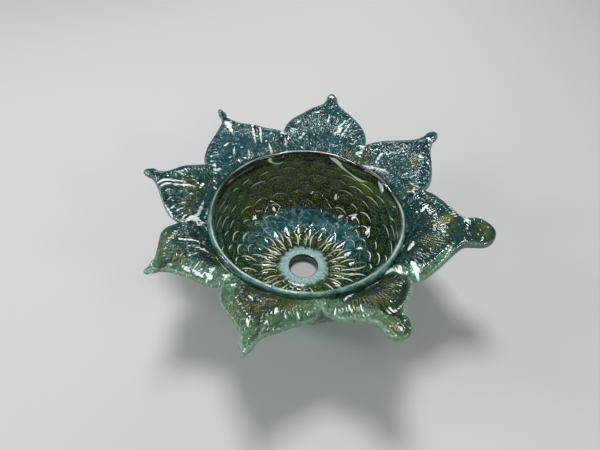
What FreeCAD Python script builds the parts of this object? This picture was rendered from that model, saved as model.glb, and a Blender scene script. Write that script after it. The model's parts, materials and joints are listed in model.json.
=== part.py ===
import FreeCAD, Part

import math
import os

import Sketcher
from FreeCAD import Placement, Rotation, Vector

# A hand-made glass tealight cup: a blown bowl with a bored, ground base and eight leaves round its lip.
# The bowl stands on its ground base, which is centred on the origin, and +Z is the bore's axis.
# Each leaf is a separate gather of glass, laid on the outside of the lip and drawn out to a tip.
# Leaves are numbered anticlockwise from the one beside +X. Neighbouring leaves meet face to face
# at the notches between them, and each leaf's root meets the bowl's neck face to face.

# Driving dimensions in millimetres: alias, value, meaning.
SHARED_CELLS = [
    ("lip_height", 40.0, "top of the lip above the ground base"),
    ("mouth_radius", 37.5, "inside radius of the straight neck"),
    ("neck_wall", 2.2, "wall of the straight neck"),
    ("neck_start", 27.5, "height at which the round bottom turns into the neck"),
    ("base_radius", 11.0, "outside radius of the ground face on the bottom"),
    ("floor_height", 4.6, "glass below the flat of the floor"),
    ("hole_radius", 6.3, "bore through the floor"),
    ("lip_round", 0.9, "rounding of the lip's two edges"),
    ("hole_break", 0.4, "bevel on the bore's upper edge"),
    ("root_radius", 36.0, "a leaf's innermost section, which the neck cuts away"),
    ("root_drop", 5.2, "middle of that section below the lip"),
    ("notch_radius", 49.3, "where two neighbouring margins meet"),
    ("notch_lift", 0.4, "margins above the lip at the notches"),
    ("leaf_thick", 3.8, "thickness of a leaf near its root"),
    ("climb_power", 0.8, "below 1, a leaf climbs early and flattens towards its tip"),
]
# One row for each leaf, in millimetres but for the first field and the two fullnesses: bearing in
# degrees of its first notch, distance from the axis to the tip, rise of the tip above the notches,
# half width and half thickness of the tip, sideways lean of the tip, and fullness of the two margins.
LEAF_FIELDS = ("start", "reach", "rise", "tip", "tip_depth", "lean", "full_right", "full_left")
LEAF_ROWS = [
    (-42.0, 70.5, 8.5, 6.8, 1.7, 0.0, 1.15, 1.15),
    (15.2, 70.0, 9.5, 2.6, 1.5, 0.0, 1.30, 1.00),
    (58.6, 70.0, 9.5, 2.6, 1.5, 0.0, 1.30, 1.40),
    (105.2, 68.0, 9.0, 1.7, 1.2, 0.0, 0.90, 1.20),
    (153.1, 66.5, 8.5, 2.0, 1.4, 0.0, 1.30, 1.30),
    (192.4, 66.5, 6.5, 1.7, 1.2, 3.0, 1.20, 0.95),
    (234.2, 70.2, 8.0, 1.9, 1.4, 0.0, 1.00, 0.70),
    (277.3, 67.5, 8.0, 4.8, 1.7, 0.0, 0.90, 0.80),
]
# Sections of a leaf between its notches (0) and its tip (1), with the share of leaf_thick at each.
STATIONS = [(0.0, 1.0), (0.28, 0.96), (0.52, 0.92), (0.74, 0.84), (0.9, 0.76)]
ROOT_SPREAD = 1.25  # half width of the root section, as a share of the notch's
BEAD_GROWTH = 1.06  # the bead at a tip stands a little proud of the neck that it closes
SECTOR_RADIUS = 100.0  # beyond every tip
ACROSS = Rotation(Vector(0, 1, 0), Vector(0, 0, 1), Vector(1, 0, 0), "ZXY")
ORIGIN = (-1, 1)  # a sketch's own origin, as its constraints name it
START, END, CENTRE = 1, 2, 3  # the points of a line or an arc, as constraints name them


def make_sheet(doc):
    """The spreadsheet of driving dimensions, one alias a row."""
    sheet = doc.addObject("Spreadsheet::Sheet", "Sizes")
    leaf_cells = [
        (f"leaf_{number}_{field}", value, f"leaf {number}: {field.replace('_', ' ')}")
        for number, row in enumerate(LEAF_ROWS, start=1)
        for field, value in zip(LEAF_FIELDS, row)
    ]
    for line, (alias, value, meaning) in enumerate(SHARED_CELLS + leaf_cells, start=1):
        sheet.set(f"A{line}", meaning)
        sheet.set(f"B{line}", str(value))
        sheet.setAlias(f"B{line}", alias)
    doc.recompute()
    return sheet


def bind(obj, **expressions):
    """Binds properties to sheet expressions. A double underscore stands for a dot."""
    for name, expression in expressions.items():
        obj.setExpression(name.replace("__", "."), expression)
    return obj


def dimension(sketch, expression, *constraint):
    """Adds a driving dimension to a sketch and binds it to a sheet expression."""
    index = sketch.addConstraint(Sketcher.Constraint(*constraint))
    sketch.setExpression(f"Constraints[{index}]", expression)


def boolean(doc, kind, name, *shapes):
    """A Part boolean: Cut takes a base and a tool, MultiFuse and MultiCommon take any number."""
    made = doc.addObject(f"Part::{kind}", name)
    if kind == "Cut":
        made.Base, made.Tool = shapes
    else:
        made.Shapes = list(shapes)
    return made


def edges_at(shape, height, radius):
    """Names of the circular edges at a height and radius."""
    return [
        f"Edge{number}"
        for number, edge in enumerate(shape.Edges, start=1)
        if isinstance(edge.Curve, Part.Circle)
        and abs(edge.Curve.Center.z - height) < 1e-4
        and abs(edge.Curve.Radius - radius) < 1e-4
    ]


def arc_between(centre, start, end):
    """An anticlockwise arc about a centre from one point to the next."""
    first = math.atan2(start[1] - centre[1], start[0] - centre[0])
    last = math.atan2(end[1] - centre[1], end[0] - centre[0])
    circle = Part.Circle(Vector(*centre, 0), Vector(0, 0, 1), math.dist(centre, start))
    return Part.ArcOfCircle(circle, first, last if last > first else last + 2 * math.pi)


def bowl_profile(body, sheet):
    """Half of the bowl's section, drawn on XZ, from the bore's foot round the outside to the floor."""
    sketch = body.newObject("Sketcher::SketchObject", "bowl_profile")
    plane = next(f for f in body.Origin.OriginFeatures if f.Role == "XZ_Plane")
    sketch.AttachmentSupport, sketch.MapMode = [(plane, "")], "FlatFace"

    hole, foot, mouth = sheet.hole_radius, sheet.base_radius, sheet.mouth_radius
    outside = mouth + sheet.neck_wall
    floor, neck, lip = sheet.floor_height, sheet.neck_start, sheet.lip_height
    bend = neck - floor
    corners = [(hole, 0), (foot, 0), (outside, neck), (outside, lip)]
    corners += [(mouth, lip), (mouth, neck), (mouth - bend, floor), (hole, floor)]
    base, wall, neck_out, rim, neck_in, hollow, floor_line, bore = range(len(corners))
    outer_centre = ((outside**2 - foot**2 - neck**2) / (2 * (outside - foot)), neck)
    inner_centre = (mouth - bend, neck)
    for index, start in enumerate(corners):
        end = corners[(index + 1) % len(corners)]
        if index == wall:
            sketch.addGeometry(arc_between(outer_centre, start, end))
        elif index == hollow:
            sketch.addGeometry(arc_between(inner_centre, end, start))
        else:
            sketch.addGeometry(Part.LineSegment(Vector(*start, 0), Vector(*end, 0)))

    joins = [("Coincident", base, END, wall, START), ("Tangent", wall, END, neck_out, START)]
    joins += [("Coincident", neck_out, END, rim, START), ("Coincident", rim, END, neck_in, START)]
    joins += [("Tangent", neck_in, END, hollow, END), ("Tangent", hollow, START, floor_line, START)]
    joins += [("Coincident", floor_line, END, bore, START), ("Coincident", bore, END, base, START)]
    square = [("Horizontal", line) for line in (base, rim, floor_line)]
    square += [("Vertical", line) for line in (neck_out, neck_in, bore)]
    square += [("PointOnObject", base, START, -1), ("Horizontal", neck_in, END, neck_out, START)]
    for constraint in joins + square:
        sketch.addConstraint(Sketcher.Constraint(*constraint))
    dimension(sketch, "Sizes.hole_radius", "DistanceX", *ORIGIN, base, START, hole)
    dimension(sketch, "Sizes.base_radius", "DistanceX", *ORIGIN, base, END, foot)
    dimension(sketch, "Sizes.mouth_radius", "DistanceX", *ORIGIN, neck_in, START, mouth)
    dimension(sketch, "Sizes.neck_wall", "DistanceX", rim, END, rim, START, sheet.neck_wall)
    dimension(sketch, "Sizes.neck_start", "DistanceY", *ORIGIN, neck_out, START, neck)
    dimension(sketch, "Sizes.lip_height", "DistanceY", *ORIGIN, neck_out, END, lip)
    dimension(sketch, "Sizes.floor_height", "DistanceY", *ORIGIN, floor_line, END, floor)
    return sketch


def make_bowl(doc, sheet):
    """The blown bowl, with its lip fire-polished round and the edge of its bore bevelled."""
    body = doc.addObject("PartDesign::Body", "bowl")
    profile = bowl_profile(body, sheet)
    turned = body.newObject("PartDesign::Revolution", "bowl_turned")
    turned.Profile, turned.ReferenceAxis, turned.Angle = profile, (profile, ["V_Axis"]), 360
    doc.recompute()

    polished = body.newObject("PartDesign::Fillet", "bowl_polished")
    mouth, outside = sheet.mouth_radius, sheet.mouth_radius + sheet.neck_wall
    lip_edges = [name for r in (mouth, outside) for name in edges_at(turned.Shape, sheet.lip_height, r)]
    polished.Base = (turned, lip_edges)
    bind(polished, Radius="Sizes.lip_round")
    doc.recompute()

    bevelled = body.newObject("PartDesign::Chamfer", "bowl_bevelled")
    bevelled.Base = (polished, edges_at(polished.Shape, sheet.floor_height, sheet.hole_radius))
    bind(bevelled, Size="Sizes.hole_break")
    body.Tip = bevelled
    return body


def leaf_section(doc, name, along, left, right, height, half_depth):
    """A flat bar with round ends across a leaf that lies along +X."""
    sketch = doc.addObject("Sketcher::SketchObject", name)
    sketch.Placement = Placement(Vector(), ACROSS)
    bind(sketch, Placement__Base__x=along)
    spread, depth, middle = 20, 2, 40
    corners = [(-spread, middle - depth), (spread, middle - depth)]
    corners += [(spread, middle + depth), (-spread, middle + depth)]
    under, left_end, over, right_end = range(4)
    sketch.addGeometry(Part.LineSegment(Vector(*corners[0], 0), Vector(*corners[1], 0)))
    sketch.addGeometry(arc_between((spread, middle), corners[1], corners[2]))
    sketch.addGeometry(Part.LineSegment(Vector(*corners[2], 0), Vector(*corners[3], 0)))
    sketch.addGeometry(arc_between((-spread, middle), corners[3], corners[0]))
    for first, second in ((under, left_end), (left_end, over), (over, right_end), (right_end, under)):
        sketch.addConstraint(Sketcher.Constraint("Tangent", first, END, second, START))
    sketch.addConstraint(Sketcher.Constraint("Equal", left_end, right_end))
    sketch.addConstraint(Sketcher.Constraint("Horizontal", under))
    inset_left, inset_right = f"{left} - {half_depth}", f"{right} + {half_depth}"
    dimension(sketch, half_depth, "Radius", left_end, depth)
    dimension(sketch, inset_left, "DistanceX", *ORIGIN, left_end, CENTRE, spread)
    dimension(sketch, inset_right, "DistanceX", *ORIGIN, right_end, CENTRE, -spread)
    dimension(sketch, height, "DistanceY", *ORIGIN, left_end, CENTRE, middle)
    return sketch


def make_leaf(doc, number):
    """One leaf: a loft through sections from root to tip, closed by a bead, then fitted to its place."""
    own = f"Sizes.leaf_{number}"
    start = LEAF_ROWS[number - 1][0]
    following = LEAF_ROWS[number % len(LEAF_ROWS)][0]
    spread = (following - start) % 360
    notch_x = f"Sizes.notch_radius * cos({spread / 2})"
    notch_y = f"Sizes.notch_radius * sin({spread / 2})"
    margins_at = "(Sizes.lip_height + Sizes.notch_lift)"
    length = f"({own}_reach - {own}_tip - {notch_x})"

    def margin(share, fullness):
        """Distance of a margin from the leaf's middle: full at the notch, hollow near the tip."""
        return f"({own}_tip + ({notch_y} - {own}_tip) * (1 + cos(180 * {share} ^ {fullness})) / 2)"

    root_depth, root_width = "(Sizes.leaf_thick / 2)", f"({ROOT_SPREAD} * {notch_y})"
    root_height = "Sizes.lip_height - Sizes.root_drop"
    name = f"leaf_{number}_section"
    sections = [
        leaf_section(
            doc, f"{name}_root", "Sizes.root_radius", root_width, f"-{root_width}", root_height, root_depth
        )
    ]
    for place, (share, depth) in enumerate(STATIONS, start=1):
        lean = f"{own}_lean * {share} ^ 2"
        along = f"{notch_x} + {length} * {share}"
        left = f"({lean} + {margin(share, f'{own}_full_left')})"
        right = f"({lean} - {margin(share, f'{own}_full_right')})"
        height = f"{margins_at} + {own}_rise * {share} ^ Sizes.climb_power"
        half_depth = f"min(Sizes.leaf_thick / 2 * {depth}; {own}_tip_depth + 1)"
        sections.append(leaf_section(doc, f"{name}_{place}", along, left, right, height, half_depth))
    left, right = f"({own}_lean + {own}_tip)", f"({own}_lean - {own}_tip)"
    height, half_depth = f"{margins_at} + {own}_rise", f"{own}_tip_depth"
    sections.append(
        leaf_section(doc, f"{name}_end", f"{notch_x} + {length}", left, right, height, half_depth)
    )
    blade = doc.addObject("Part::Loft", f"leaf_{number}_blade")
    blade.Sections, blade.Solid = sections, True

    bead = doc.addObject("Part::Ellipsoid", f"leaf_{number}_bead")
    bead.Angle1, bead.Angle2 = -90, 90
    bind(
        bead,
        Radius1=f"{own}_tip_depth * {BEAD_GROWTH}",
        Radius2=f"{own}_tip * {BEAD_GROWTH}",
        Radius3=f"{own}_tip * {BEAD_GROWTH}",
        Placement__Base__x=f"{own}_reach - {own}_tip * {BEAD_GROWTH}",
        Placement__Base__y=f"{own}_lean",
        Placement__Base__z=f"{margins_at} + {own}_rise",
    )
    whole = boolean(doc, "MultiFuse", f"leaf_{number}_drawn", blade, bead)

    sector = doc.addObject("Part::Cylinder", f"leaf_{number}_sector")
    sector.Radius, sector.Angle = SECTOR_RADIUS, spread
    sector.Placement = Placement(Vector(), Rotation(Vector(0, 0, 1), -spread / 2))
    bind(sector, Height="2 * Sizes.lip_height")
    fitted = boolean(doc, "MultiCommon", f"leaf_{number}_fitted", whole, sector)

    neck = doc.addObject("Part::Cylinder", f"leaf_{number}_neck")
    bind(neck, Radius="Sizes.mouth_radius + Sizes.neck_wall", Height="2 * Sizes.lip_height")
    leaf = boolean(doc, "Cut", f"leaf_{number}", fitted, neck)
    leaf.Placement = Placement(Vector(), Rotation(Vector(0, 0, 1), start + spread / 2))
    return leaf


def check(doc, nodes):
    """Stops before anything is written if a feature failed or a piece isn't one valid solid."""
    failed = [o.Name for o in doc.Objects if {"Invalid", "Error"} & set(o.State)]
    if failed:
        raise SystemExit(f"failed to recompute: {failed}")
    for node in nodes:
        shape = node.Shape
        if shape.isNull() or not shape.isValid() or len(shape.Solids) != 1:
            raise SystemExit(f"{node.Label} isn't one valid solid: {len(shape.Solids)} solids")
    volume = sum(node.Shape.Volume for node in nodes)
    balance = Vector()
    for node in nodes:
        balance += node.Shape.Solids[0].CenterOfMass * (node.Shape.Volume / volume)
    print(f"glass {volume / 1000:.1f} cm3, balanced {math.hypot(balance.x, balance.y):.2f} mm off the axis")


def main():
    doc = FreeCAD.newDocument("tealight_cup")
    sheet = make_sheet(doc)
    nodes = [make_bowl(doc, sheet)]
    nodes += [make_leaf(doc, number) for number in range(1, len(LEAF_ROWS) + 1)]
    doc.recompute()
    check(doc, nodes)
    os.makedirs("parts", exist_ok=True)
    for node in nodes:
        node.Shape.exportStep(os.path.join("parts", f"{node.Label}.step"))


main()
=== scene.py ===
import json
import math
from collections import namedtuple
from functools import partialmethod
from types import SimpleNamespace

import bpy
import numpy as np
from mathutils import Matrix, Vector


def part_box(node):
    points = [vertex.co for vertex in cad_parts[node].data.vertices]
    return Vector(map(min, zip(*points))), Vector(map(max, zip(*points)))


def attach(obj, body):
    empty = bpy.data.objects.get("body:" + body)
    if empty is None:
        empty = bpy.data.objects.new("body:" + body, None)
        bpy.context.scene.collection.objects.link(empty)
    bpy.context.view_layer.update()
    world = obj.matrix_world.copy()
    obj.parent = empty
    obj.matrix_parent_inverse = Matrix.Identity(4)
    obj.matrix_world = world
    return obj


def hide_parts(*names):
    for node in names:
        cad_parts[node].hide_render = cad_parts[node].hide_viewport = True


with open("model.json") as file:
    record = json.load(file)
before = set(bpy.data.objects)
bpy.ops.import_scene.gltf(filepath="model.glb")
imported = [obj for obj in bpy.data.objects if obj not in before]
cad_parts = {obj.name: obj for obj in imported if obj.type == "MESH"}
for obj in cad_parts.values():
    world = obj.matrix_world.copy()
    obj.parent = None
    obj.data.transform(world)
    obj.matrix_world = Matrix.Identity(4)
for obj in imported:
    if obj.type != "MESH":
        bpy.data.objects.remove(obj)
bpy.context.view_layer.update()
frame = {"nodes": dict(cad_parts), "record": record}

# Lengths are in metres. MM turns the millimetres that the glass is known by into them.
MM = 0.001

# The bowl's section, from the frame and the four sizes that the frame doesn't state.
bowl_low, bowl_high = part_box("bowl")
MOUNTS = {mount["name"]: mount for mount in frame["record"]["mounts"]}
LIP = bowl_high.z
OUTSIDE = bowl_high.x
BORE = MOUNTS["stem_hole"]["dims"]["r_mm"] * MM
WALL = 2.2 * MM
NECK = 27.5 * MM
FLOOR = 4.6 * MM
FOOT = 11.0 * MM
SECTION_STEP = 0.53 * MM
CORNER = 0.15 * MM

# The moulded diamonds: cells round the bowl, one row's height along the wall, where the first row starts, the
# grooves' depths, and how far below the lip the relief fades out.
CELLS = 24
POINTS_PER_CELL = 16
ROW = 4.5 * MM
FIRST_ROW = 10.7 * MM - BORE
GROOVE_INSIDE = 0.62 * MM
GROOVE_OUTSIDE = 0.55 * MM
FADE = (LIP - 9 * MM, LIP - 3 * MM)

# Heights between which the painted blue reflection at the bottom of the back wall gives way to olive.
SHORE = (9.5 * MM, 11.5 * MM)

# Marks that the pincers left inside the lip: bearing and height of the middle, tilt of the long axis in
# degrees, half length, half height, how far it stands in from the wall, and how brightly the highlight
# painted on its edge gleams.
Pinch = namedtuple("Pinch", "bearing middle tilt half_length half_height stand gleam")
PINCHES = [
    Pinch(57, 37.9, -9, 9.8, 4.5, 2.2, 1.55),
    Pinch(19, 35.8, -16, 8.6, 4.6, 2.6, 1.7),
    Pinch(112.3, 37.8, 0, 4.1, 2.9, 1.1, 0.75),
    Pinch(139, 38.4, 2, 9.5, 1.3, 0.4, 0.35),
    Pinch(196, 36, 0, 4.2, 1.3, 0.5, 0.9),
    Pinch(234, 36.6, 4, 5, 2.2, 0.6, 0.4),
    Pinch(277, 36.4, -3, 6, 2.4, 0.6, 0.4),
    Pinch(318.5, 35.6, 6, 9, 4, 1.2, 0.7),
]
NO_EDGE = 9 * MM


def smooth(low, high, value):
    """0 at low, 1 at high and a smooth change between. It falls where low is the larger."""
    share = np.clip((value - low) / (high - low), 0, 1)
    return share * share * (3 - 2 * share)


def bell(distance, width):
    """1 at no distance, falling away to nothing over a few widths."""
    return np.exp(-((distance / width) ** 2))


def wrap(angle):
    """The same angle between minus and plus half a turn."""
    return (angle + math.pi) % (2 * math.pi) - math.pi


def add_object(name, data):
    """A new object in the scene."""
    made = bpy.data.objects.new(name, data)
    bpy.context.scene.collection.objects.link(made)
    return made


def make_mesh(name, vertices, faces, values):
    """A smooth mesh object from arrays, with named values on its points for the materials to read."""
    mesh = bpy.data.meshes.new(name)
    mesh.from_pydata(vertices.tolist(), [], faces)
    mesh.shade_smooth()
    for label, at_points in values.items():
        layer = mesh.attributes.new(label, "FLOAT", "POINT")
        layer.data.foreach_set("value", np.ascontiguousarray(at_points, dtype=np.float32).ravel())
    mesh.validate()
    mesh.update()
    return add_object(name, mesh)


def ring_faces(rings, points, closed_rings):
    """Quads of a grid that is closed along each ring, and from the last ring to the first if asked."""
    last = rings if closed_rings else rings - 1
    faces = []
    for ring in range(last):
        here, there = ring * points, (ring + 1) % rings * points
        for point in range(points):
            after = (point + 1) % points
            faces.append((here + point, there + point, there + after, here + after))
    return faces


# ---------------- the bowl


def stretch(start, end, step):
    """Points along a straight stretch of the section, just short of its two corners."""
    start, end = np.array(start), np.array(end)
    length = np.linalg.norm(end - start)
    corner = min(CORNER, length / 4)
    share = np.linspace(corner, length - corner, max(2, round(length / step)))[:, None] / length
    return start + (end - start) * share


def bend(centre, radius, start, end, step):
    """Points along an arc of the section, just short of its ends. Angles are in degrees."""
    length = abs(math.radians(end - start)) * radius
    corner = min(CORNER, length / 8) / length
    share = np.linspace(corner, 1 - corner, max(4, round(length / step)))
    turn = np.radians(start + (end - start) * share)
    return np.stack([centre[0] + radius * np.cos(turn), centre[1] + radius * np.sin(turn)], 1)


def bowl_section(step):
    """The bowl's closed section as (radius, height), each point's row of diamonds, and its side.

    The side is 1 inside the bowl, 2 outside it and 0 elsewhere."""
    mouth = OUTSIDE - WALL
    inner = (mouth - (NECK - FLOOR), NECK)
    outer = ((OUTSIDE**2 - FOOT**2 - NECK**2) / (2 * (OUTSIDE - FOOT)), NECK)
    foot_angle = math.degrees(math.atan2(-NECK, FOOT - outer[0]))
    lip, edge = WALL / 2, 0.4 * MM
    inside = [
        stretch((BORE + edge, FLOOR), (inner[0], FLOOR), step),
        bend(inner, NECK - FLOOR, -90, 0, step),
        stretch((mouth, NECK), (mouth, LIP - lip), step),
    ]
    rim = [bend((mouth + lip, LIP - lip), lip, 180, 0, step / 2)]
    outside = [
        stretch((OUTSIDE, LIP - lip), (OUTSIDE, NECK), step),
        bend(outer, OUTSIDE - outer[0], 0, foot_angle, step),
    ]
    foot = [
        stretch((FOOT, 0), (BORE, 0), step),
        stretch((BORE, 0), (BORE, FLOOR - edge), step),
        stretch((BORE, FLOOR - edge), (BORE + edge, FLOOR), step / 2),
    ]
    section = np.concatenate(inside + rim + outside + foot)
    counts = [sum(len(part) for part in parts) for parts in (inside, rim, outside, foot)]
    runs = np.concatenate([[0], np.cumsum(np.linalg.norm(np.diff(section, axis=0), axis=1))])
    rows = np.full(len(section), -1.0)
    rows[: counts[0]] = (runs[: counts[0]] - FIRST_ROW) / ROW
    first, last = counts[0] + counts[1], sum(counts[:3])
    top_row = rows[counts[0] - 1]
    climbed = runs[last - 1] - runs[first:last]
    rows[first:last] = top_row * climbed / climbed.max()
    sides = np.repeat([1, 0, 2, 0], counts)
    return section, rows, sides


def quilting(around, rows):
    """The diamonds: depth below a cell's middle, from 0 to 1, and how near each point is to a middle."""
    one, other = around + rows / 2, around - rows / 2
    middle = np.abs(np.sin(math.pi * one) * np.sin(math.pi * other))
    middle = np.where(np.floor(one) - np.floor(other) >= 1, middle, 0)
    return 1 - middle**0.55, middle


def pinch_shape(pinch, turn, height):
    """How far each point is from a drop-shaped mark's middle, 1 on its edge, and the painted highlight of
    that edge.

    The third value is how far along the lip the mark reaches."""
    away = wrap(turn - math.radians(pinch.bearing)) * OUTSIDE
    up = height - pinch.middle * MM
    cos, sin = math.cos(math.radians(pinch.tilt)), math.sin(math.radians(pinch.tilt))
    along = (away * cos - up * sin) / (pinch.half_length * MM)
    aside = (up * cos + away * sin) / (pinch.half_height * MM)
    aside = aside / (1 - 0.3 * np.clip(along, -1, 1))
    # Painted highlight: the edge is brighter towards one end of the mark, where light would catch it.
    gleam = pinch.gleam * (0.08 + 0.92 * smooth(-0.55, 0.95, 0.8 * (along - aside)))
    return np.hypot(along, aside), gleam, bell(away, pinch.half_length * MM * 0.8)


def press_pinches(push, inner, turn, height):
    """Presses the pincers' marks into the relief inside the bowl.

    The other values are where no mark is, the distance from the nearest mark's edge, how brightly the
    highlight painted on that edge gleams, and how far the lip is drawn down."""
    plain = np.ones_like(push)
    edge = np.full_like(push, NO_EDGE)
    shine = np.zeros_like(push)
    drop = np.zeros_like(push)
    for pinch in PINCHES:
        reach, gleam, beside = pinch_shape(pinch, turn, height)
        push = np.where(inner, push * smooth(0.9, 1.25, reach), push)
        swelling = pinch.stand * np.clip(1 - reach**2, 0, 1) ** 0.6
        push = push + inner * MM * (swelling - 0.25 * bell(reach - 1, 0.14))
        plain = plain * np.where(inner, smooth(0.8, 1.1, reach), 1)
        off = np.abs(reach - 1) * pinch.half_height * MM
        # shine: the painted highlight of the nearest mark's edge.
        shine = np.where(off < edge, gleam, shine)
        edge = np.where(inner, np.minimum(edge, off), edge)
        drop = drop + 0.4 * pinch.stand * MM * beside
    return push, plain, edge, shine, drop * smooth(LIP - 7 * MM, LIP, height)


def spot(turn, height, bearing, middle, wide, high):
    """A soft spot on the bowl at a bearing in degrees and a height. The last three are in millimetres."""
    away = wrap(turn - math.radians(bearing)) * OUTSIDE
    return bell(away, wide * MM) * bell(height - middle * MM, high * MM)


def bowl_paint(turn, radius, height, row, side, middles, plain):
    """What the bowl's material reads at each point, all from 0 to 1 but the row of diamonds."""
    inner, outer = side == 1, side == 2
    front = smooth(0.45, -0.35, np.sin(turn))
    back = smooth(-0.1, 0.75, np.sin(turn))
    rim_inside = smooth(LIP - 1.6 * MM, LIP - 0.8 * MM, height)
    rim_outside = smooth(LIP - 6 * MM, LIP - 4.5 * MM, height)
    rim = front * np.where(inner, rim_inside, rim_outside)
    # Painted highlights: a bright line along the lip's crest, stronger in some places than others, and a
    # glint on the outside at bearing 276 degrees, 13 mm up.
    highlight_strength = 0.65 + 0.35 * np.sin(7 * turn + 1.3) * np.sin(4 * turn + 0.4)
    crest = bell(radius - (OUTSIDE - 0.6 * WALL), 0.42 * MM) * (height > LIP - 0.8 * MM) * highlight_strength
    glint = spot(turn, height, 276, 13, 5, 2.5) * outer

    scallop = 3 * MM * (middles - 0.4)
    crown = height + scallop
    above_sea_reflection = smooth(*SHORE, crown)
    petals = 1 - smooth(18 * MM, 22 * MM, radius + scallop)
    # A painted blue reflection, on the lower part of the back wall only.
    sea_reflection = back * (1 - petals) * (1 - above_sea_reflection) * smooth(2.5 * MM, 6 * MM, crown)
    amber = spot(turn, height, 47, 31, 8, 4.5) + 0.5 * spot(turn, height, 142, 15, 6, 4)
    amber = amber + 0.9 * petals * np.maximum(middles, 0.3) ** 0.6 * smooth(-0.4, 0.1, row)
    ragged = 0.2 * np.sin(5 * turn + 1) + 0.25 * np.sin(19 * turn + 2.5 * np.sin(3 * turn))
    ragged = ragged + 0.2 * np.sin(37 * turn + 3 * np.sin(4 * turn + 1))
    quilted = smooth(-0.1, 0.1, row) * (1 - smooth(FADE[0], LIP - 4 * MM, height))
    return dict(
        row=row,
        gold=smooth(-0.5, 0.1, row) * (0.3 + 0.7 * middles**1.2) * plain * (side > 0) * (1 - sea_reflection),
        olive=above_sea_reflection * back,
        sea_reflection=sea_reflection,
        amber=np.clip(amber, 0, 1),
        clear=np.maximum(1 - smooth(-0.6, -0.2, row), rim) * (side > 0),
        rim=rim,
        # dome: the domes' middles; away from them the glass is painted darker, as shade in the grooves.
        dome=middles * plain * smooth(-0.1, 0.35, row) * (1 - smooth(*FADE, height)),
        # outer: the outside's pale green, stronger towards the front: partly the glass's own colour, partly
        # painted light where the front light falls.
        outer=outer * (1 - rim) * (0.6 + 0.4 * front),
        quilted=quilted * plain * inner,
        floor=(1 - smooth(-0.25, 0.2, row + 0.4 * ragged)) * inner,
        neck=smooth(LIP - 6 * MM, LIP - 2.5 * MM, height) * inner * (1 - rim),
        pinched=(1 - plain) * inner,
        # crest: the painted highlights on the lip's crest and of the glint outside.
        crest=np.clip(crest + glint, 0, 1),
        ground=(height < 0.02 * MM) & (radius < FOOT) & (radius > BORE + 0.1 * MM),
    )


def make_bowl():
    """The blown bowl as one closed surface: quilted inside and out, pinched at the lip, ground below."""
    section, rows, sides = bowl_section(SECTION_STEP)
    around = np.linspace(0, 2 * math.pi, POINTS_PER_CELL * CELLS, endpoint=False)
    along = np.roll(section, -1, axis=0) - np.roll(section, 1, axis=0)
    along /= np.linalg.norm(along, axis=1, keepdims=True)
    outward = np.stack([-along[:, 1], along[:, 0]], 1)

    radius, height = section[:, :1], section[:, 1:]
    row, side, turn = rows[:, None], sides[:, None], around[None, :]
    depth, middles = quilting(CELLS * turn / (2 * math.pi), row)
    shown = smooth(-0.1, 0.35, row) * (1 - smooth(*FADE, height))
    push = np.where(side == 1, -GROOVE_INSIDE, -GROOVE_OUTSIDE) * depth * shown * (side > 0)
    push, plain, edge, shine, drop = press_pinches(push, side == 1, turn, height)
    sway = 0.14 * MM * (np.sin(3 * turn + 0.6) + 0.7 * np.sin(5 * turn + 2.1) - 1.7)
    sway = sway * smooth(0.3 * LIP, LIP, height)
    from_axis = radius + outward[:, :1] * push + sway
    up = height + outward[:, 1:] * push - drop
    vertices = np.stack([from_axis * np.cos(turn), from_axis * np.sin(turn), up], -1)
    paint = bowl_paint(turn, radius, height, row, side, middles, plain)
    paint.update(edge=edge, shine=shine)
    return make_mesh(
        "blown_bowl",
        vertices.reshape(-1, 3),
        ring_faces(len(section), len(around), closed_rings=True),
        {label: np.broadcast_to(values, push.shape) for label, values in paint.items()},
    )


# ---------------- the leaves

# Each leaf's own shape and look. Lengths are in millimetres, and pairs give its right side first.
#   full, waist: fullness of its margins, and half width of its waist
#   tip, drop, depth: half width of its tip, how long the rounded end is for that, and half its thickness
#   neck: how far along the leaf its waist starts
#   lift, roll: how far its middle is lifted, and over what width its margins roll down
#   moss: how mossy its colour is
#   bubbles, fleck: how many flecks it has, and how finely they lie across and along its ribs
#   milk, clear_tip, milky_tip, speckle: how far in its margins are milky, partly painted as lit by the front
#       light, whether the milk stops before the tip or takes it all, and how brightly the milk is speckled
#       with painted highlights
#   knot: how brightly the painted highlight on the knot at its right notch gleams
#   white_line, gap: the painted highlight line where its root leaves the neck, as distance from the neck,
#       brightness and slant, and whether a line of painted shade lies behind it
#   ridges, crests: height, shares along and across, and pitch of the crimped ridges on its paddle-shaped
#       tip, and how brightly the highlights painted on their crests gleam
USUAL = dict(
    neck=1, lift=1, roll=6, milk=(0, 0), clear_tip=False, milky_tip=False, speckle=0, moss=0,
    white_line=(1.6, 0.6, 0), gap=False, ridges=(0, 0, 0, 1), crests=0,
)
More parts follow.
